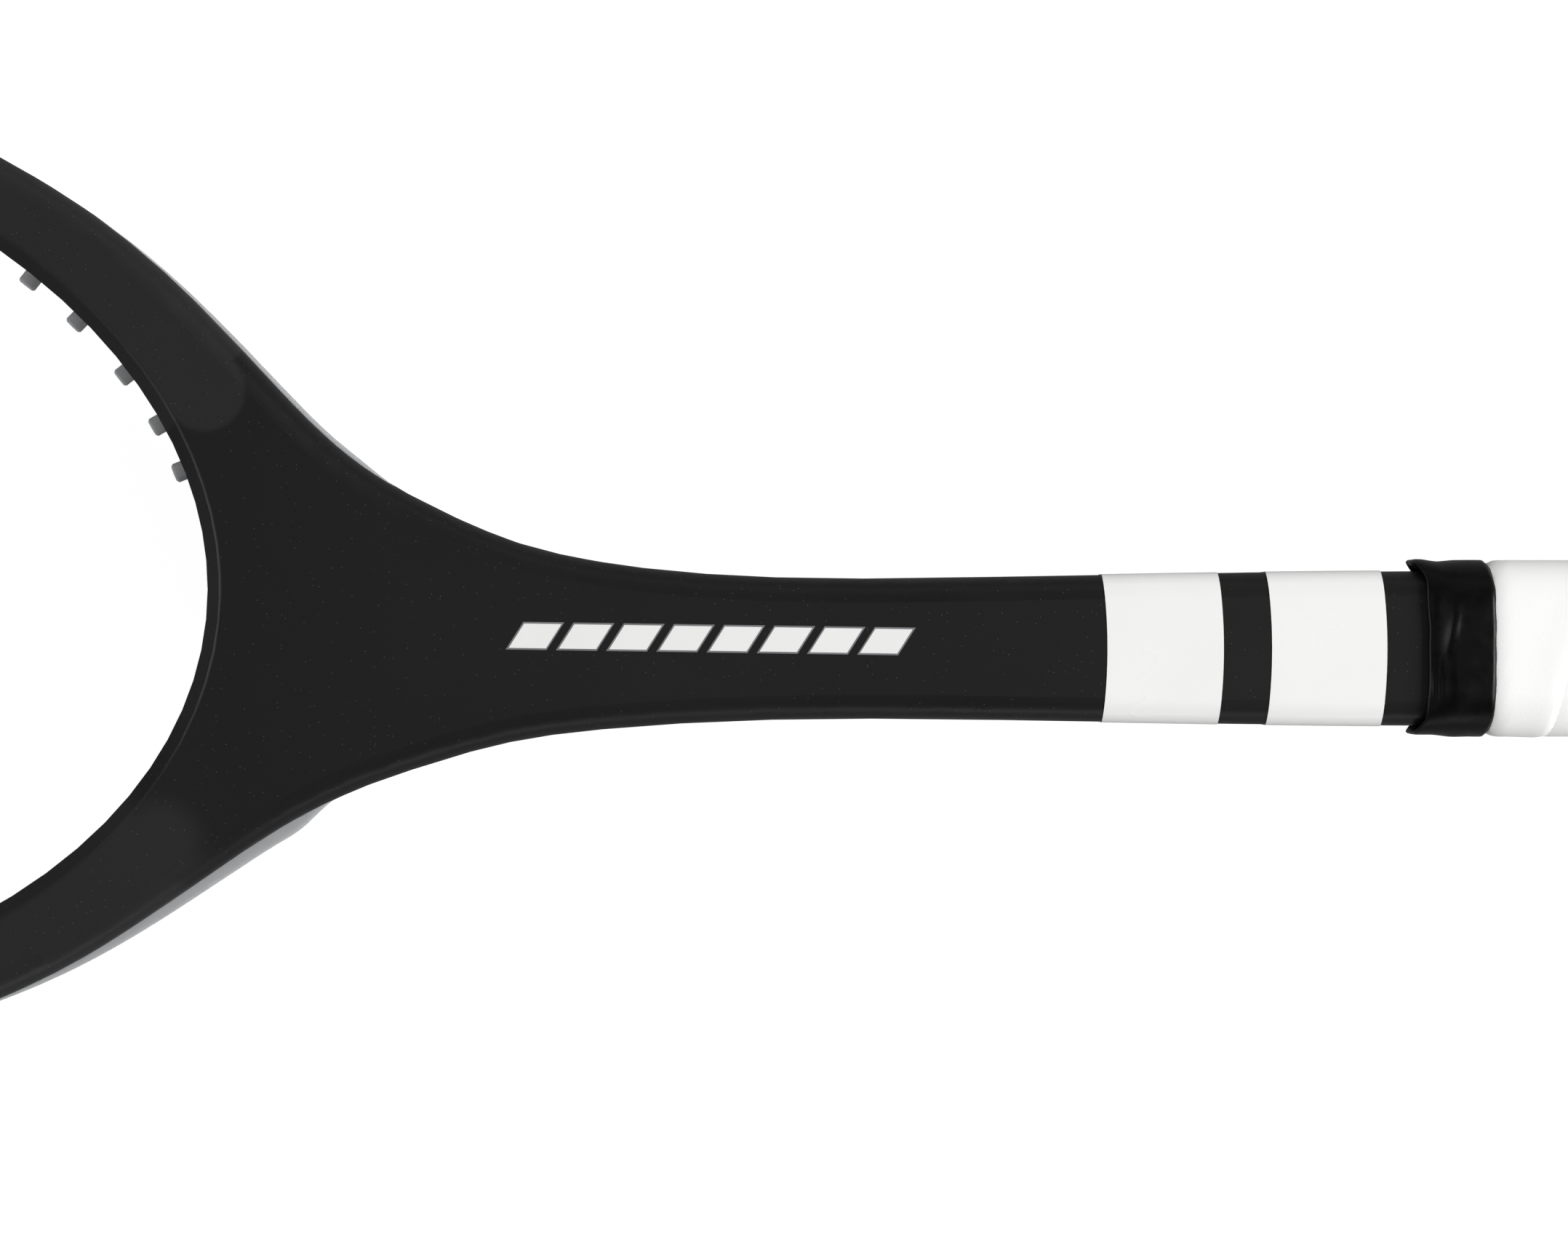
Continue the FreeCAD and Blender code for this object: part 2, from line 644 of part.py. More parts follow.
def make_collar(bare_frame):
    """Stretch collar over the end of the pallets and the start of the shaft."""
    grip_side = pallet_bar(TAPE_END, HANDLE_LENGTH + COLLAR_WALL, FINISHING_TAPE + COLLAR_WALL)
    grip_side = grip_side.cut(pallet_bar(TAPE_END, HANDLE_LENGTH, FINISHING_TAPE))
    shaft_width = 2 * (SHAFT_HALF_WIDTH + COLLAR_WALL)
    corner = EDGE_RADIUS + COLLAR_WALL
    shaft_side = bar(HANDLE_LENGTH, COLLAR_END, shaft_width, BEAM + 2 * COLLAR_WALL, corner)
    rim = [e for e in shaft_side.Edges if e.BoundBox.XMin > COLLAR_END - 1e-3]
    shaft_side = shaft_side.makeFillet(COLLAR_LIP_RADIUS, rim)
    collar = grip_side.fuse(shaft_side)
    return collar.cut(bare_frame)


def make_decal():
    """Row of slanted bars, as film on the front of the shaft."""
    pitch = DECAL_LENGTH / DECAL_BARS
    lean = Vector(DECAL_LEAN, DECAL_HEIGHT / 2, 0)
    wide = Vector(pitch - DECAL_GAP, 0, 0)
    bars = []
    for i in range(DECAL_BARS):
        foot = Vector(DECAL_START + i * pitch + DECAL_LEAN, DECAL_MIDDLE_Y, BEAM / 2)
        corners = [foot - lean, foot - lean + wide, foot + lean + wide, foot + lean]
        face = Part.Face(Part.makePolygon(corners + corners[:1]))
        bars.append(face.extrude(UP * FILM))
    decal = Part.makeCompound(bars)
    middle = Vector(DECAL_START + DECAL_LENGTH / 2, DECAL_MIDDLE_Y, 0)
    decal.rotate(middle, UP, -DECAL_TILT)
    return decal


# Places along the tang, from the butt: the plug, the weight, then the core.
PLUG_START = CAP_END + FILL_GAP
WEIGHT_START = PLUG_START + PLUG_LENGTH + FILL_GAP
WEIGHT_END = WEIGHT_START + WEIGHT_LENGTH
CORE_START = HANDLE_LENGTH + TANG_OVERLAP

pieces = {}
all_holes = []
for name, strip_data in STRIPS.items():
    strip, strip_holes = make_strip(strip_data)
    pieces["grommet_strip_" + name] = strip
    all_holes += strip_holes
bare_frame = frame_blank()
pieces["head_bumper"], bumper_holes = make_bumper(bare_frame)
all_holes += bumper_holes
pieces["frame_shell"] = make_frame(bare_frame, all_holes)
pieces["foam_core"] = make_core_blank().cut(Part.makeCompound(all_holes))
front_half, back_half = make_pallets()
pieces["handle_pallet_front"] = front_half
pieces["handle_pallet_back"] = back_half
nails = make_tacks()
for name in ("front", "back"):
    pieces["handle_pallet_" + name] = pieces["handle_pallet_" + name].cut(Part.makeCompound(nails))
plug = tang_hollow(PLUG_START, FILL_GAP).common(x_slab(PLUG_START, PLUG_START + PLUG_LENGTH))
weight = tang_hollow(PLUG_START, FILL_GAP).common(x_slab(WEIGHT_START, WEIGHT_END))
pieces["shaft_end_plug"] = plug
pieces["balance_weight"] = weight
pieces["butt_cap_tacks"] = Part.makeCompound(nails)
pieces["butt_cap"] = make_cap(nails)
pieces["butt_badge"] = badge_blank(0)
staple = make_staple()
pieces["grip_staple"] = staple
pieces["butt_cap"] = pieces["butt_cap"].cut(staple)
pieces["grip_tape"] = make_tape(staple)
finish = pallet_bar(TAPE_END, HANDLE_LENGTH, FINISHING_TAPE)
pieces["finishing_tape"] = finish.cut(pallet_bar(TAPE_END, HANDLE_LENGTH, 0))
pieces["grip_collar"] = make_collar(bare_frame)
for name, (band_from, band_to) in BANDS.items():
    pieces["shaft_band_" + name] = shaft_band(band_from, band_to)
pieces["throat_decal"] = make_decal()

os.makedirs("parts", exist_ok=True)
for name, shape in pieces.items():
    shape.exportStep("parts/" + name + ".step")
    print(name, "valid" if shape.isValid() else "NOT VALID", len(shape.Solids), "solids",
          round(shape.Volume, 1), "mm3")
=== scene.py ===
# %% [markdown]
# # A squash racket before stringing
# The racket lies flat, with its butt at X = 0 and its head along +X. Its hard parts come
# ready from the CAD model. This lesson gives each of them the finish of its real material,
# and models the soft parts, the wound grip and the rubber collar, which CAD only stands in for.

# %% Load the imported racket
import math

import bmesh
import bpy
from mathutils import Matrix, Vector, noise


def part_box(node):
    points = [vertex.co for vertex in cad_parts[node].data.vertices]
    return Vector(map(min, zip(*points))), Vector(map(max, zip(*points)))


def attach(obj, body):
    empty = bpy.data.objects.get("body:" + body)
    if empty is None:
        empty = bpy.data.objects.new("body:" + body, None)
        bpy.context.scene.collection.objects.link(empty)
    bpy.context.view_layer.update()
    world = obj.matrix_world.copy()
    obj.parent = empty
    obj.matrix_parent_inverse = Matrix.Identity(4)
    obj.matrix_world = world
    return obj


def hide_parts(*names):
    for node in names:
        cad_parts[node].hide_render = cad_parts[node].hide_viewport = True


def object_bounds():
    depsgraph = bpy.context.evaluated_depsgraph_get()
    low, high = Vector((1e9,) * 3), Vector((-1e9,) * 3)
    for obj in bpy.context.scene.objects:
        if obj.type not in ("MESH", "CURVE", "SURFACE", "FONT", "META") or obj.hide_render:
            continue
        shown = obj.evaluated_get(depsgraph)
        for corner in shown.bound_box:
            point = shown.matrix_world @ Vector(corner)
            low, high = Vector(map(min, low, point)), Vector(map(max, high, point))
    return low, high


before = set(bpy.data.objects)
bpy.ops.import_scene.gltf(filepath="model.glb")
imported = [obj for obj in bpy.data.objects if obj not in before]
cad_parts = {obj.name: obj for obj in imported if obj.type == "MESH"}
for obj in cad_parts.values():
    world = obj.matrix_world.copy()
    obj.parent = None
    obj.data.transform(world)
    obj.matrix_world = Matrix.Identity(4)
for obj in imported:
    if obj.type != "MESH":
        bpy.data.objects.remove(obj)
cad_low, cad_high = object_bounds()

MM = 0.001
print("racket", [round(side / MM, 1) for side in cad_high - cad_low], "mm")

# %% [markdown]
# ## Camera
# The racket is seen from straight above by a long lens, so its sides hardly show.
# A lens of 160 mm on a 36 mm sensor, 1.2 m over the painted face, frames the throat, half of
# the head and the start of the handle. The camera is turned half round, so that the head
# points to the left.

# %% Camera
SENSOR = 36.0
LENS = 160.3
CAMERA_HEIGHT = 1.2
face_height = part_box("frame_shell")[1].z
camera_data = bpy.data.cameras.new("camera")
camera_data.sensor_width = SENSOR
camera_data.lens = LENS
camera_data.clip_start = 0.05
camera_data.clip_end = 60.0
camera = bpy.data.objects.new("camera", camera_data)
camera.location = (335.1 * MM, -3.6 * MM, face_height + CAMERA_HEIGHT)
camera.rotation_euler = (0.0, 0.0, math.pi)
bpy.context.scene.collection.objects.link(camera)
bpy.context.scene.camera = camera
print("frame is", round(SENSOR / LENS * CAMERA_HEIGHT / MM, 1), "mm wide on the painted face")

# %% [markdown]
# ## Two small helpers
# Colours are picked as sRGB hex values, which is what a colour chart gives, and shaders work
# in linear light, so one function turns the first into the second.
# The other adds a node to a material, sets it up and plugs it in.

# %% Colour and node helpers
def to_linear(hex_colour):
    """An sRGB hex colour as the linear RGBA that shaders take."""
    channels = []
    for start in (1, 3, 5):
        value = int(hex_colour[start:start + 2], 16) / 255
        channels.append(value / 12.92 if value <= 0.04045 else ((value + 0.055) / 1.055) ** 2.4)
    return (*channels, 1.0)


def add_node(tree, kind, settings=(), links=()):
    """Adds a node. Settings and links go by property, socket name or socket number."""
    node = tree.nodes.new(kind)
    for key, value in dict(settings).items():
        if isinstance(key, str) and hasattr(node, key):
            setattr(node, key, value)
        else:
            node.inputs[key].default_value = value
    for key, output in dict(links).items():
        tree.links.new(output, node.inputs[key])
    return node


def smooth(value, low, high):
    """0 below low, 1 above high, and an easy curve between."""
    share = min(max((value - low) / (high - low), 0.0), 1.0)
    return share * share * (3 - 2 * share)


# %% [markdown]
# ## Light table, lamps and surroundings
# The racket lies on a plain white table. The table looks lit from within, but its glow is only
# for the eye: it keeps the ground white, and black edges beside it stay black.
# A matt black object is drawn almost wholly by what it mirrors. So a weak lamp hangs straight
# above the flat faces, and most of the light comes low and soft from beyond the butt and the
# head, which lights white parts well and hardly touches the long black sides. Weak lamps
# beside the racket lift its outer edges, with fill lamps that only white parts answer to:
# black paint doesn't mirror them. The surroundings between the lamps are dark.

# %% Table
TABLE_SIZE = 30.0
table_mesh = bpy.data.meshes.new("table")
shape = bmesh.new()
bmesh.ops.create_grid(shape, x_segments=1, y_segments=1, size=TABLE_SIZE / 2)
bmesh.ops.translate(shape, verts=shape.verts, vec=(0.3, 0.0, cad_low.z - 0.2 * MM))
shape.to_mesh(table_mesh)
shape.free()
table = bpy.data.objects.new("table", table_mesh)
bpy.context.scene.collection.objects.link(table)

TABLE_GLOW = 0.93
white_table = bpy.data.materials.new("White acrylic light table")
white_table.use_nodes = True
table_tree = white_table.node_tree
table_tree.nodes.clear()
matt_sheet = add_node(table_tree, "ShaderNodeBsdfDiffuse", {"Color": to_linear("#8C8C8C")})
lit_sheet = add_node(table_tree, "ShaderNodeEmission", {"Strength": TABLE_GLOW})
eye = add_node(table_tree, "ShaderNodeLightPath")
glow = add_node(table_tree, "ShaderNodeMixShader", {},
                {0: eye.outputs["Is Camera Ray"], 2: lit_sheet.outputs[0]})
top = add_node(table_tree, "ShaderNodeAddShader", {},
               {0: glow.outputs[0], 1: matt_sheet.outputs[0]})
add_node(table_tree, "ShaderNodeOutputMaterial", {}, {"Surface": top.outputs[0]})
table_mesh.materials.append(white_table)

# %% Lamps: name, place, size along and across, power in watts, whether paint mirrors it
RACKET_MIDDLE = Vector((0.34, 0.0, 0.0))
LAMPS = (
    ("overhead_lamp", (0.34, 0.05, 2.4), (0.5, 0.35), 0.6, True),
    ("butt_lamp", (-1.35, 0.0, 1.15), (1.3, 1.3), 52.0, True),
    ("head_lamp", (2.3, 0.0, 0.95), (1.6, 1.3), 16.0, True),
    ("far_side_lamp", (0.34, -1.9, 1.0), (2.4, 1.0), 2.0, True),
    ("near_side_lamp", (0.34, 2.2, 0.5), (2.4, 0.6), 6.0, True),
    ("far_side_fill", (0.34, -1.9, 0.8), (2.4, 1.0), 13.0, False),
    ("near_side_fill", (0.34, 2.2, 0.6), (2.4, 0.8), 9.0, False),
)
for name, place, (along, across), power, mirrored in LAMPS:
    lamp = bpy.data.lights.new(name, "AREA")
    lamp.shape = "RECTANGLE"
    lamp.size = along
    lamp.size_y = across
    lamp.energy = power
    holder = bpy.data.objects.new(name, lamp)
    holder.location = place
    aim = RACKET_MIDDLE - Vector(place)
    holder.rotation_euler = aim.to_track_quat("-Z", "Y").to_euler()
    holder.visible_camera = False
    holder.visible_glossy = mirrored
    bpy.context.scene.collection.objects.link(holder)
print(len(LAMPS), "lamps")

# %% Surroundings: pale to the eye, dim to what mirrors them
world = bpy.data.worlds.new("studio")
bpy.context.scene.world = world
world.use_nodes = True
room = world.node_tree
room.nodes.clear()
dim_room = add_node(room, "ShaderNodeBackground", {"Color": to_linear("#FFFFFF"), "Strength": 0.10})
pale_room = add_node(room, "ShaderNodeBackground", {"Color": to_linear("#F1F2F3"), "Strength": 1.0})
ray = add_node(room, "ShaderNodeLightPath")
seen = add_node(room, "ShaderNodeMixShader", {}, {
    0: ray.outputs["Is Camera Ray"], 1: dim_room.outputs[0], 2: pale_room.outputs[0]})
add_node(room, "ShaderNodeOutputWorld", {}, {"Surface": seen.outputs[0]})
bpy.context.scene.view_settings.view_transform = "Standard"

# %% [markdown]
# ## One recipe for moulded, painted and printed surfaces
# Most of this racket is plastic, rubber or paint. Up close such a surface is never flat or
# evenly glossy: it has a fine grain from its mould or its spray gun, and it is shinier in some
# places than in others. So one recipe takes the material's colour, gloss and index of
# refraction, adds a grain of a given size in millimetres, and lets colour and gloss drift.
# Patterns read Object coordinates, which are metres on the racket itself: a noise scale of
# 1 / size gives lumps of that size.

# %% Recipe for a grained surface
def grained_surface(name, colour, drift_colour, roughness, grain_mm, depth_mm,
                    ior=1.5, metallic=0.0, roughness_drift=0.08, drift_mm=14.0):
    """A material with fine grain, and slow drift in colour and gloss."""
    material = bpy.data.materials.new(name)
    material.use_nodes = True
    tree = material.node_tree
    tree.nodes.clear()
    place = add_node(tree, "ShaderNodeTexCoord")
    grain = add_node(tree, "ShaderNodeTexNoise",
                     {"Scale": 1 / (grain_mm * MM), "Detail": 3.0, "Roughness": 0.6},
                     {"Vector": place.outputs["Object"]})
    drift = add_node(tree, "ShaderNodeTexNoise",
                     {"Scale": 1 / (drift_mm * MM), "Detail": 2.0},
                     {"Vector": place.outputs["Object"]})
    tint = add_node(tree, "ShaderNodeMix",
                    {"data_type": "RGBA", 6: to_linear(colour), 7: to_linear(drift_colour)},
                    {0: drift.outputs["Fac"]})
    gloss = add_node(tree, "ShaderNodeMapRange",
                     {"From Min": 0.3, "From Max": 0.7, "To Min": roughness - roughness_drift,
                      "To Max": roughness + roughness_drift}, {"Value": drift.outputs["Fac"]})
    relief = add_node(tree, "ShaderNodeBump", {"Strength": 1.0, "Distance": depth_mm * MM},
                      {"Height": grain.outputs["Fac"]})
    shader = add_node(tree, "ShaderNodeBsdfPrincipled", {"IOR": ior, "Metallic": metallic},
                      {"Base Color": tint.outputs[2], "Roughness": gloss.outputs[0],
                       "Normal": relief.outputs[0]})
    add_node(tree, "ShaderNodeOutputMaterial", {}, {"Surface": shader.outputs[0]})
    return material, tree, shader, place, tint


def wear(node_name, material):
    """Puts a material on every slot of a CAD node."""
    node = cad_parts[node_name]
    for slot in node.material_slots:
        slot.material = material


# %% [markdown]
# ## Frame paint
# The frame is moulded carbon composite under a matt two-pack paint. Matt paint scatters its
# mirror image, so the black reads as a dark grey. Spray leaves an orange peel of about a
# millimetre, and some dust settles in it while it dries. The dust is a noise of small cells,
# of which fewer than half get a speck.
# Both arms of the hoop carry a painted reflection: a slightly lighter grey painted into the black,
# with a round end near the throat, standing for the brighter light those faces mirror. It is
# drawn by distance: the coordinates are turned into the head's own axes and folded along them,
# so that one round end serves both arms. It is crisp on the far arm and soft on the near one.

# %% Matt frame paint
paint, paint_tree, paint_shader, paint_place, paint_tint = grained_surface(
    "Matt two-pack paint on carbon composite", "#151515", "#181818",
    roughness=0.38, grain_mm=1.1, depth_mm=0.006, roughness_drift=0.04, drift_mm=30.0)
# Where the painted reflection on the hoop's arms lies: the head's middle and turn, then the round
# end, direction, radius and blur of the reflection
HEAD_MIDDLE = Vector((553.5, -17.1, 0.0)) * MM
HEAD_TURN = math.radians(-5.8)
REFLECTION_END = (-115.4 * MM, 39.1 * MM, 0.0)
REFLECTION_WAY = (0.797, 0.604, 0.0)
REFLECTION_RADIUS = 7.0 * MM
REFLECTION_BLUR = (0.6 * MM, 3.0 * MM)    # softness of the end, on the far arm and the near one
on_head = add_node(paint_tree, "ShaderNodeMapping",
                   {"vector_type": "TEXTURE", "Location": HEAD_MIDDLE,
                    "Rotation": (0.0, 0.0, HEAD_TURN)}, {"Vector": paint_place.outputs["Object"]})
parts = add_node(paint_tree, "ShaderNodeSeparateXYZ", {}, {0: on_head.outputs[0]})
either_side = add_node(paint_tree, "ShaderNodeMath", {"operation": "ABSOLUTE"},
                       {0: parts.outputs["Y"]})
folded = add_node(paint_tree, "ShaderNodeCombineXYZ", {},
                  {"X": parts.outputs["X"], "Y": either_side.outputs[0]})
from_end = add_node(paint_tree, "ShaderNodeVectorMath", {"operation": "SUBTRACT", 1: REFLECTION_END},
                    {0: folded.outputs[0]})
past_end = add_node(paint_tree, "ShaderNodeVectorMath", {"operation": "DOT_PRODUCT", 1: REFLECTION_WAY},
                    {0: from_end.outputs[0]})
near_end = add_node(paint_tree, "ShaderNodeVectorMath", {"operation": "LENGTH"},
                    {0: from_end.outputs[0]})
blur = add_node(paint_tree, "ShaderNodeMapRange",
                {"From Min": -MM, "From Max": MM, "To Min": REFLECTION_BLUR[0], "To Max": REFLECTION_BLUR[1]},
                {"Value": parts.outputs["Y"]})
over_edge = add_node(paint_tree, "ShaderNodeMath", {"operation": "SUBTRACT", 1: REFLECTION_RADIUS},
                     {0: near_end.outputs["Value"]})
straight_blurs = add_node(paint_tree, "ShaderNodeMath", {"operation": "DIVIDE"},
                          {0: past_end.outputs["Value"], 1: blur.outputs[0]})
round_blurs = add_node(paint_tree, "ShaderNodeMath", {"operation": "DIVIDE"},
                       {0: over_edge.outputs[0], 1: blur.outputs[0]})
straight_part = add_node(paint_tree, "ShaderNodeMapRange",
                         {"interpolation_type": "SMOOTHSTEP", "From Min": -1.0, "From Max": 1.0},
                         {"Value": straight_blurs.outputs[0]})
round_part = add_node(paint_tree, "ShaderNodeMapRange",
                      {"interpolation_type": "SMOOTHSTEP", "From Min": 1.0, "From Max": -1.0},
                      {"Value": round_blurs.outputs[0]})
painted_reflection_mask = add_node(paint_tree, "ShaderNodeMath", {"operation": "MAXIMUM"},
                 {0: straight_part.outputs[0], 1: round_part.outputs[0]})
# Mixes the lighter grey of the painted reflection into the paint colour over the arms
painted_reflection_tint = add_node(paint_tree, "ShaderNodeMix",
                      {"data_type": "RGBA", 7: to_linear("#232324")},
                      {0: painted_reflection_mask.outputs[0], 6: paint_tint.outputs[2]})

# %% Dust in the paint
DUST_SPACING = 0.8
DUST_SHARE = 0.4              # of the cells that get a speck
PAINT_MIRROR = 0.3            # matt paint mirrors less than bare plastic
dust = add_node(paint_tree, "ShaderNodeTexVoronoi", {"Scale": 1 / (DUST_SPACING * MM)},
                {"Vector": paint_place.outputs["Object"]})
speck = add_node(paint_tree, "ShaderNodeMapRange",
                 {"From Min": 0.12, "From Max": 0.06, "To Min": 0.0, "To Max": 0.3},
                 {"Value": dust.outputs["Distance"]})
rare = add_node(paint_tree, "ShaderNodeSeparateColor", {}, {"Color": dust.outputs["Color"]})
chosen = add_node(paint_tree, "ShaderNodeMath", {"operation": "GREATER_THAN", 1: 1 - DUST_SHARE},
                  {0: rare.outputs[0]})
speck_here = add_node(paint_tree, "ShaderNodeMath", {"operation": "MULTIPLY"},
                      {0: speck.outputs[0], 1: chosen.outputs[0]})
dusty = add_node(paint_tree, "ShaderNodeMix",
                 {"data_type": "RGBA", 7: to_linear("#8C8B88")},
                 {0: speck_here.outputs[0], 6: painted_reflection_tint.outputs[2]})
paint_tree.links.new(dusty.outputs[2], paint_shader.inputs["Base Color"])
paint_shader.inputs["Specular IOR Level"].default_value = PAINT_MIRROR
wear("frame_shell", paint)

# %% [markdown]
# ## The other hard parts
# Each takes the same recipe with its own colour, gloss and grain. Hidden parts get their own
# material too, because the model can be taken apart. The strips' nylon lets light into it,
# which brightens their barrels, so it scatters below its surface.

# %% Moulded nylon, foam, metal and print
bumper_nylon = grained_surface(
    "Moulded black nylon", "#1A1A1B", "#202021", roughness=0.38, grain_mm=0.5,
    depth_mm=0.012, ior=1.53)[0]
strip_nylon, _, strip_shader, _, _ = grained_surface(
    "Moulded grey nylon", "#B0B1B3", "#BBBCBE", roughness=0.33, grain_mm=0.7,
    depth_mm=0.01, ior=1.53, drift_mm=6.0)
strip_shader.inputs["Subsurface Weight"].default_value = 0.6
strip_shader.inputs["Subsurface Radius"].default_value = (1.0, 1.0, 1.0)
strip_shader.inputs["Subsurface Scale"].default_value = 3.0 * MM
pallet_foam = grained_surface(
    "Rigid polyurethane foam", "#C9B98A", "#BBA975", roughness=0.75, grain_mm=0.8,
    depth_mm=0.12)[0]
core_foam = grained_surface(
    "Light injected foam", "#D9D3C0", "#C8C1AB", roughness=0.85, grain_mm=1.2,
    depth_mm=0.2)[0]
lead_weight = grained_surface(
    "Cast lead", "#7B7D80", "#6C6E72", roughness=0.55, grain_mm=2.5, depth_mm=0.05,
    metallic=1.0)[0]
zinc_steel = grained_surface(
    "Zinc-plated steel", "#B9BBBE", "#A4A7AB", roughness=0.28, grain_mm=0.4,
    depth_mm=0.004, metallic=1.0, drift_mm=2.0)[0]
cap_rubber = grained_surface(
    "Moulded thermoplastic rubber", "#1C1C1D", "#222223", roughness=0.6, grain_mm=0.6,
    depth_mm=0.03, ior=1.49)[0]
badge_plastic = grained_surface(
    "Spark-eroded ABS", "#2B2C2E", "#303133", roughness=0.45, grain_mm=0.35,
    depth_mm=0.02, ior=1.54)[0]
tape_film = grained_surface(
    "Soft vinyl tape", "#1F1F20", "#262627", roughness=0.3, grain_mm=1.5, depth_mm=0.02)[0]
white_lacquer = grained_surface(
    "White lacquer", "#EFEFEE", "#EAEAE9", roughness=0.3, grain_mm=1.3, depth_mm=0.004,
    roughness_drift=0.04)[0]
white_ink = grained_surface(
    "White screen-printing ink", "#EDEDEC", "#E4E4E3", roughness=0.45, grain_mm=0.3,
    depth_mm=0.008)[0]
grey_ink = grained_surface(
    "Grey screen-printing ink", "#77787A", "#6E6F71", roughness=0.45, grain_mm=0.3,
    depth_mm=0.008)[0]
FINISHES = {
    "head_bumper": bumper_nylon, "grommet_strip_left": strip_nylon,
    "grommet_strip_right": strip_nylon, "handle_pallet_front": pallet_foam,
    "handle_pallet_back": pallet_foam, "foam_core": core_foam, "shaft_end_plug": core_foam,
    "balance_weight": lead_weight, "butt_cap_tacks": zinc_steel, "grip_staple": zinc_steel,
    "butt_cap": cap_rubber, "butt_badge": badge_plastic, "finishing_tape": tape_film,
    "shaft_band_outer": white_lacquer, "shaft_band_inner": white_lacquer,
    "throat_decal": white_ink,
}
for name, finish in FINISHES.items():
    wear(name, finish)
print(len(FINISHES) + 1, "CAD nodes have their finish")

# %% [markdown]
# ## The handle's section
# The grip and the collar both follow the handle, whose section is a rectangle with round
# corners. The function walks round such a section by the share of a turn, and gives
# the point and the direction straight out of the surface. Growing the section by a distance is
# then only a step along that direction, which is how a wound tape builds up.

# %% Walk round a rounded rectangle
def around(turn, half_width, half_height, corner):
    """Point and outward direction on a rounded rectangle in Y and Z, at a share of a turn."""
    flat_y = half_width - corner
    flat_z = half_height - corner
    arc = corner * math.pi / 2
    runs = (flat_z, arc, flat_y)
    quarter_length = sum(runs)
    quarter, share = divmod((turn % 1.0) * 4, 1.0)
    way = share * quarter_length
    backwards = int(quarter) % 2 == 1
    if backwards:
        way = quarter_length - way
    if way < flat_z:
        y, z, ny, nz = half_width, way, 1.0, 0.0
    elif way < flat_z + arc:
        angle = (way - flat_z) / corner
        ny, nz = math.cos(angle), math.sin(angle)
        y, z = flat_y + corner * ny, flat_z + corner * nz
    else:
        y, z, ny, nz = quarter_length - way, half_height, 0.0, 1.0
    sign_y = -1.0 if int(quarter) in (1, 2) else 1.0
    sign_z = -1.0 if int(quarter) in (2, 3) else 1.0
    return (y * sign_y, z * sign_z), (ny * sign_y, nz * sign_z)


def section_length(half_width, half_height, corner):
    return 4 * (half_width + half_height - 2 * corner) + 2 * math.pi * corner


PALLET_CORNER = 6.5
pallet_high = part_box("handle_pallet_front")[1]
PALLET = (pallet_high.y / MM, pallet_high.z / MM, PALLET_CORNER)
print("section is", round(section_length(*PALLET), 1), "mm round")


# %% [markdown]
# ## Wound grip
# The grip is one long strip of cushioned polyurethane tape. It is stapled at the butt and wound
# up the handle, and each turn laps a little over the one before, so a raised seam runs round
# the handle as a screw. It could be a sleeve with seams painted on, but the steps
# between turns are what makes a wound grip. So a flat grid is laid out as the strip
# and wrapped, point by point, and Solidify gives it its thickness.

# %% Grip: sizes of the tape and of the flare under it
TAPE_WIDTH = 27.0
TAPE_LAP = 2.6
TAPE_THICKNESS = 1.6
SEAM_RISE = 0.13
SEAM_AT = (201.0, 6.8)
LAP_TUCK = 0.3                # how far the covered edge dips under the next turn
EDGE_ROUNDING = 0.2
RIPPLE = 0.05
END_PRESS = 0.9               # how far the collar presses the tape's end down
TAPE_STEPS_ROUND = 72
TAPE_STEPS_ACROSS = 18
grip_low, grip_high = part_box("grip_tape")
GRIP_START = grip_low.x / MM
GRIP_END = grip_high.x / MM + 1.6
# The cap's flare under the tape: distance from the butt, and how far it stands out
FLARE = ((GRIP_START, 3.9), (9.0, 3.4), (16.0, 2.1), (22.0, 1.3), (28.0, 0.9), (34.0, 0.0))


def flare_at(x):
    """How far the cap under the tape stands out from the pallets, by distance from the butt."""
    if x <= FLARE[0][0]:
        return FLARE[0][1]
    for (first_x, first), (second_x, second) in zip(FLARE, FLARE[1:]):
        if x < second_x:
            return first + (second - first) * (x - first_x) / (second_x - first_x)
    return 0.0


# %% Grip: wind the strip
round_length = section_length(*PALLET) + 2 * math.pi * TAPE_THICKNESS / 2
climb = math.asin((TAPE_WIDTH - TAPE_LAP) / round_length)
pitch = round_length * math.tan(climb)
seam_turn = (SEAM_AT[0] + TAPE_WIDTH / 2 * math.cos(climb)) / pitch
seam_turn += TAPE_WIDTH / 2 * math.sin(climb) / round_length
seam_phase = seam_turn + 0.25 - SEAM_AT[1] / section_length(*PALLET)
first_turn = math.floor((GRIP_START - TAPE_WIDTH) / pitch)
last_turn = math.ceil((GRIP_END + TAPE_WIDTH) / pitch)
turns = last_turn - first_turn
strip = bmesh.new()
bmesh.ops.create_grid(strip, x_segments=turns * TAPE_STEPS_ROUND,
                      y_segments=TAPE_STEPS_ACROSS, size=0.5)
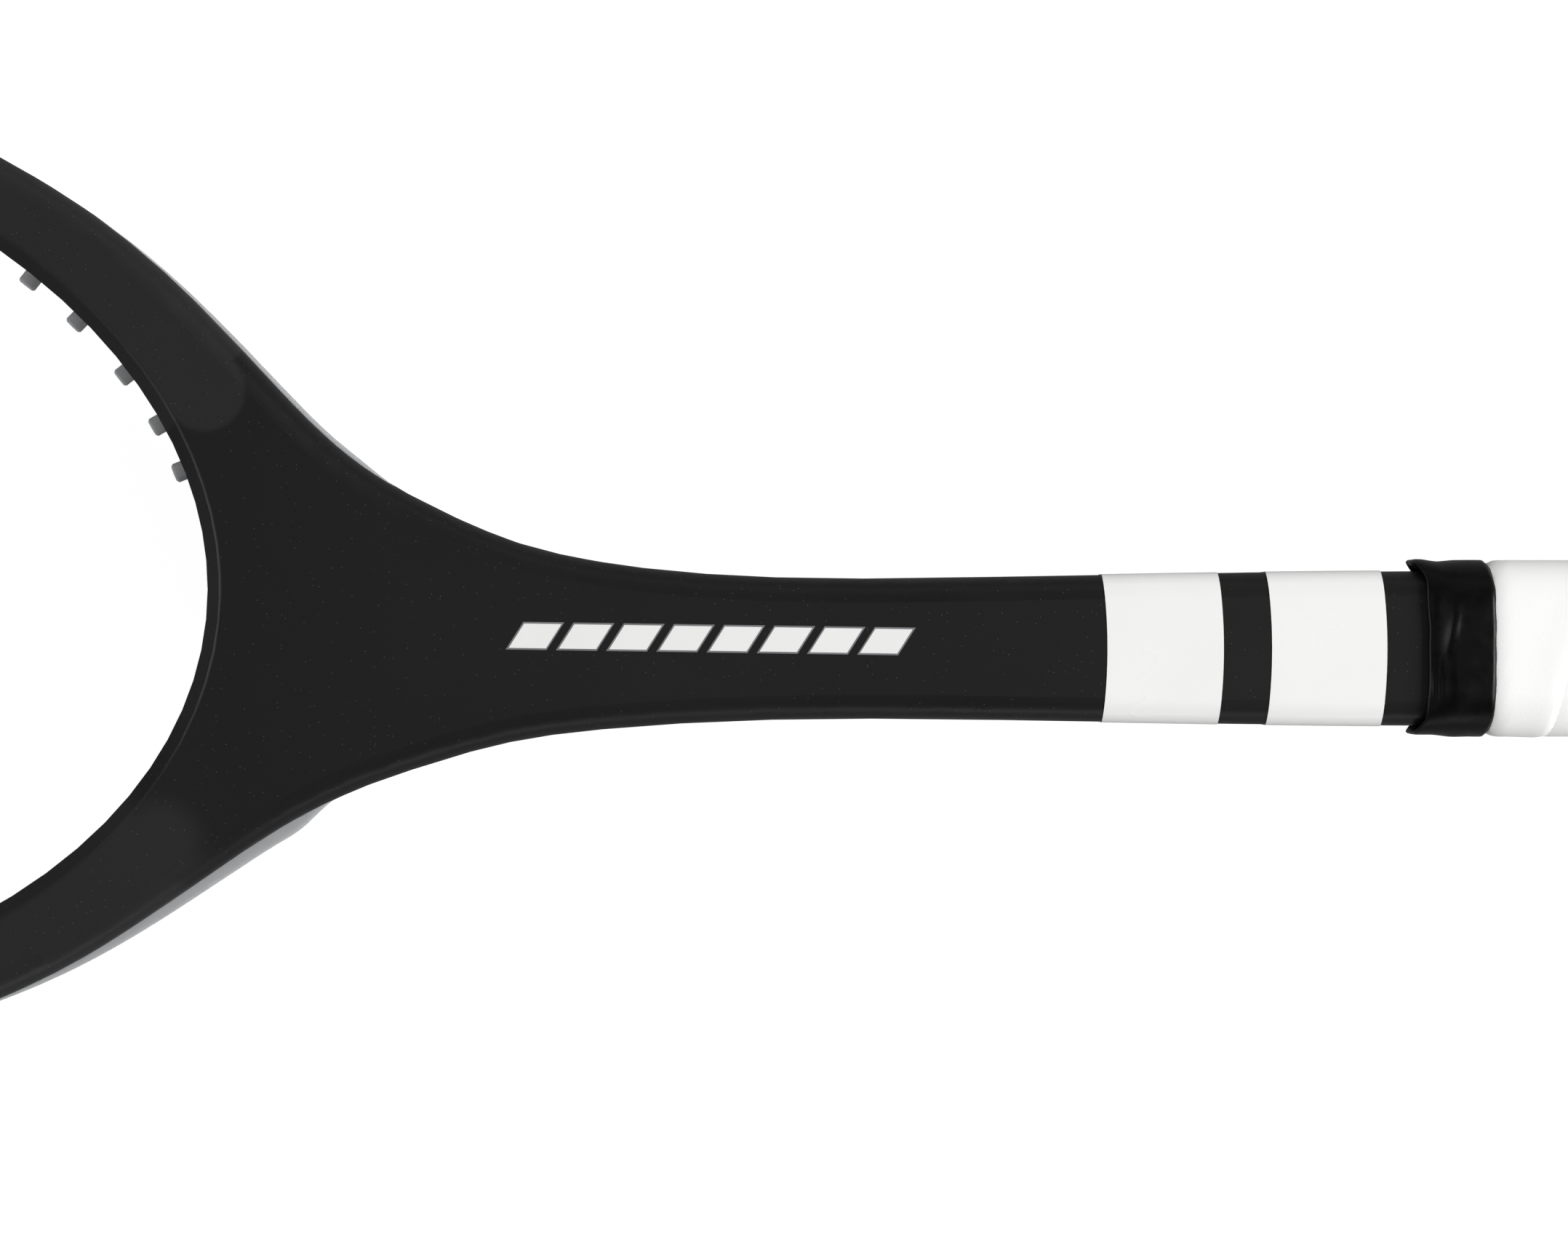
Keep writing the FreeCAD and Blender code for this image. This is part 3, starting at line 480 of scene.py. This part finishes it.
for vert in strip.verts:
    turn = first_turn + (vert.co.x + 0.5) * turns
    across = vert.co.y * TAPE_WIDTH
    x = pitch * turn + across * math.cos(climb)
    turn -= across * math.sin(climb) / round_length
    edge = across + TAPE_WIDTH / 2
    rise = SEAM_RISE * (1 - smooth(edge, TAPE_LAP * 0.6, TAPE_LAP * 2.4))
    tuck = LAP_TUCK * smooth(edge, TAPE_WIDTH - TAPE_LAP * 1.05, TAPE_WIDTH)
    rounding = EDGE_ROUNDING * (1 - smooth(edge, 0.0, 0.7))
    ripple = RIPPLE * noise.noise((x * 0.05, turn * 4.0, 3.0))
    out = flare_at(x) + TAPE_THICKNESS - SEAM_RISE * 0.35 + rise - rounding - tuck + ripple
    (y, z), (ny, nz) = around(seam_phase - turn, *PALLET)
    out -= END_PRESS * smooth(x, GRIP_END - 2.2, GRIP_END)
    vert.co = (x * MM, (y + ny * out) * MM, (z + nz * out) * MM)
for cut_at, side in ((GRIP_START, -1.0), (GRIP_END, 1.0)):
    bmesh.ops.bisect_plane(strip, geom=strip.verts[:] + strip.edges[:] + strip.faces[:],
                           plane_co=(cut_at * MM, 0, 0), plane_no=(side, 0, 0),
                           clear_outer=True)
bmesh.ops.recalc_face_normals(strip, faces=strip.faces)
middle_face = max(strip.faces, key=lambda face: face.calc_center_median().z)
if middle_face.normal.z < 0:
    bmesh.ops.reverse_faces(strip, faces=strip.faces)
tape_mesh = bpy.data.meshes.new("wound_grip")
for face in strip.faces:
    face.smooth = True
strip.to_mesh(tape_mesh)
grip_area = sum(face.calc_area() for face in strip.faces)
strip.free()
wound_grip = bpy.data.objects.new("wound_grip", tape_mesh)
bpy.context.scene.collection.objects.link(wound_grip)
wall = wound_grip.modifiers.new("tape thickness", "SOLIDIFY")
wall.thickness = 1.0 * MM
wall.offset = -1.0
wall.use_even_offset = False

# %% [markdown]
# ## Grip material
# The tape's skin is soft polyurethane: matt, slightly warm white, with a leather-like grain of
# half a millimetre pressed into it. A faint sheen stands for its velvety touch.

# %% White polyurethane grip
grip_pu, _, grip_shader, _, _ = grained_surface(
    "White polyurethane grip skin", "#F4F4F3", "#EFEFEE", roughness=0.55, grain_mm=0.55,
    depth_mm=0.03, ior=1.48)
grip_shader.inputs["Sheen Weight"].default_value = 0.15
grip_shader.inputs["Sheen Roughness"].default_value = 0.5
tape_mesh.materials.append(grip_pu)
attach(wound_grip, "root")
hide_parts("grip_tape")

# %% [markdown]
# ## Rubber collar
# A short rubber sleeve is stretched over the end of the grip and the start of the shaft. It
# steps down where the handle ends, wrinkles where it is slack, and its edge runs out to a short
# point at each side. It could be turned as a ring, but the wrinkles run across it.
# So one ring of points is extruded up the handle, each row is fitted to the
# section below it, and folds are pushed in along lines.

# %% Collar: sizes and folds
COLLAR_STEPS = 44
COLLAR_ROUND = 144
SHAFT = (13.35, 10.0, 4.2)    # half its width, half its thickness and its corner
COLLAR_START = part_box("grip_collar")[0].x / MM
COLLAR_WALL = 1.3
EDGE_AT = 224.4               # the edge on the shaft, in the middle of the face
EDGE_SWING = 0.7              # how much further up the shaft it runs towards the sides
EDGE_POINT = 1.7              # the short point at each side
EDGE_WAVE = 0.2
FLAP_LIFT = 0.5               # the point on the far side stands off a little
STEP_AT = pallet_high.x / MM
STEP_SPREAD = 2.4             # the step down to the shaft takes this much to each side
# Folds: place on the front face as X and Y, direction as X and Y, length, width, height
FOLDS = (
    ((220.4, -2.9), (0.25, 1.0), 7.0, 0.8, 0.3),
    ((223.4, 6.6), (0.03, 1.0), 7.0, 0.35, 0.25),
    ((222.5, 6.8), (0.03, 1.0), 7.0, 0.35, 0.25),
    ((216.5, 5.5), (1.0, 0.3), 6.0, 1.6, 0.15),
    ((217.2, -9.0), (0.9, 0.5), 6.0, 1.2, 0.1),
)


def fold_height(x, y, front):
    """Height of the folds at a place on the front of the collar."""
    total = 0.0
    for (fold_x, fold_y), (way_x, way_y), length, width, height in FOLDS:
        size = math.hypot(way_x, way_y)
        along = ((x - fold_x) * way_x + (y - fold_y) * way_y) / size
        across = ((x - fold_x) * way_y - (y - fold_y) * way_x) / size
        total += height * math.exp(-(along / length * 2) ** 2 - (across / width) ** 2)
    return total * front


# %% Collar: extrude the ring and fit each row
collar = bmesh.new()
bmesh.ops.create_circle(collar, segments=COLLAR_ROUND, radius=1.0)
row = collar.edges[:]
for step in range(COLLAR_STEPS):
    made = bmesh.ops.extrude_edge_only(collar, edges=row)
    fresh = [part for part in made["geom"] if isinstance(part, bmesh.types.BMVert)]
    row = [part for part in made["geom"] if isinstance(part, bmesh.types.BMEdge)
           and all(end in fresh for end in part.verts)]
    bmesh.ops.translate(collar, verts=fresh, vec=(0, 0, 1.0))
for vert in collar.verts:
    share = vert.co.z / COLLAR_STEPS
    turn = math.atan2(vert.co.y, vert.co.x) / (2 * math.pi)
    (y, z), _ = around(turn, *PALLET)
    aside = min(abs(y) / PALLET[0], 1.0)
    edge_at = EDGE_AT + EDGE_SWING * aside ** 2 + EDGE_POINT * smooth(aside, 0.82, 1.0)
    edge_at += EDGE_WAVE * noise.noise((y * 0.2, z * 0.2, 1.0))
    start_at = COLLAR_START - 0.3 + 1.5 * aside ** 5 + 0.12 * noise.noise((y * 0.2, z * 0.2, 7.0))
    x = start_at + (edge_at - start_at) * share
    down = smooth(x, STEP_AT - STEP_SPREAD, STEP_AT + STEP_SPREAD)
    size = [first + (second - first) * down for first, second in zip(PALLET, SHAFT)]
    (y, z), (ny, nz) = around(turn, *size)
    out = COLLAR_WALL + 0.25
    out -= 0.75 * (1 - smooth(x - start_at, 0.0, 1.1))
    out -= 0.35 * smooth(x, edge_at - 0.4, edge_at)
    out += FLAP_LIFT * smooth(-y, 10.0, 13.5) * smooth(x, edge_at - 5.0, edge_at - 1.0)
    out += fold_height(x, y, max(nz, 0.0))
    out += 0.05 * noise.fractal((x * 0.25, y * 0.15, z * 0.15), 1.0, 2.0, 2)
    vert.co = (x * MM, (y + ny * out) * MM, (z + nz * out) * MM)
bmesh.ops.recalc_face_normals(collar, faces=collar.faces)
top_face = max(collar.faces, key=lambda face: face.calc_center_median().z)
if top_face.normal.z < 0:
    bmesh.ops.reverse_faces(collar, faces=collar.faces)
for face in collar.faces:
    face.smooth = True
collar_mesh = bpy.data.meshes.new("rubber_collar")
collar.to_mesh(collar_mesh)
collar.free()
rubber_collar = bpy.data.objects.new("rubber_collar", collar_mesh)
bpy.context.scene.collection.objects.link(rubber_collar)
collar_wall = rubber_collar.modifiers.new("rubber thickness", "SOLIDIFY")
collar_wall.thickness = 0.9 * MM
collar_wall.offset = -1.0
print("collar", len(collar_mesh.polygons), "faces")

# %% Glossy rubber
collar_rubber, _, collar_shader, _, _ = grained_surface(
    "Natural rubber sleeve", "#030303", "#050505", roughness=0.34, grain_mm=0.3,
    depth_mm=0.02, ior=1.52, roughness_drift=0.07, drift_mm=3.0)
collar_shader.inputs["Specular IOR Level"].default_value = 0.2
collar_mesh.materials.append(collar_rubber)
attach(rubber_collar, "root")
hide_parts("grip_collar")

# %% [markdown]
# ## Outline of the printed bars
# The white bars on the throat are printed over a slightly larger grey print, which shows as
# a thin line round each bar. Each outline starts as a one-face grid, is leant over
# like its bar, and is laid just over the paint, under the white.

# %% Grey outlines
BAR_COUNT = 8
BAR_GAP = 2.2
BAR_LEAN = 1.3
BAR_TILT = math.radians(0.85)
BAR_HEIGHT = 4.2
OUTLINE = 0.3
OUTLINE_THICKNESS = 0.05
decal_low, decal_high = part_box("throat_decal")
row_length = (decal_high.x - decal_low.x) / MM
bar_pitch = (row_length - 2 * BAR_LEAN + BAR_GAP) / BAR_COUNT
row_middle = (decal_low + decal_high) / 2
outlines = bmesh.new()
for index in range(BAR_COUNT):
    made = bmesh.ops.create_grid(outlines, x_segments=1, y_segments=1, size=0.5)
    wide = bar_pitch - BAR_GAP + 2 * OUTLINE
    tall = BAR_HEIGHT + 2 * OUTLINE
    middle = (index - (BAR_COUNT - 1) / 2) * bar_pitch
    for vert in made["verts"]:
        lean = vert.co.y * 2 * BAR_LEAN * tall / BAR_HEIGHT
        vert.co = ((vert.co.x * wide + lean + middle) * MM, vert.co.y * tall * MM, 0.0)
turned = bmesh.ops.extrude_face_region(outlines, geom=outlines.faces[:])
raised = [part for part in turned["geom"] if isinstance(part, bmesh.types.BMVert)]
bmesh.ops.translate(outlines, verts=raised, vec=(0, 0, OUTLINE_THICKNESS * MM))
for vert in outlines.verts:
    x, y = vert.co.x, vert.co.y
    vert.co.x = x * math.cos(BAR_TILT) + y * math.sin(BAR_TILT) + row_middle.x
    vert.co.y = y * math.cos(BAR_TILT) - x * math.sin(BAR_TILT) + row_middle.y
    vert.co.z += face_height
bmesh.ops.recalc_face_normals(outlines, faces=outlines.faces)
outline_mesh = bpy.data.meshes.new("decal_outline")
outlines.to_mesh(outline_mesh)
outlines.free()
outline_mesh.materials.append(grey_ink)
decal_outline = bpy.data.objects.new("decal_outline", outline_mesh)
bpy.context.scene.collection.objects.link(decal_outline)
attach(decal_outline, "root")
print(BAR_COUNT, "outlines")
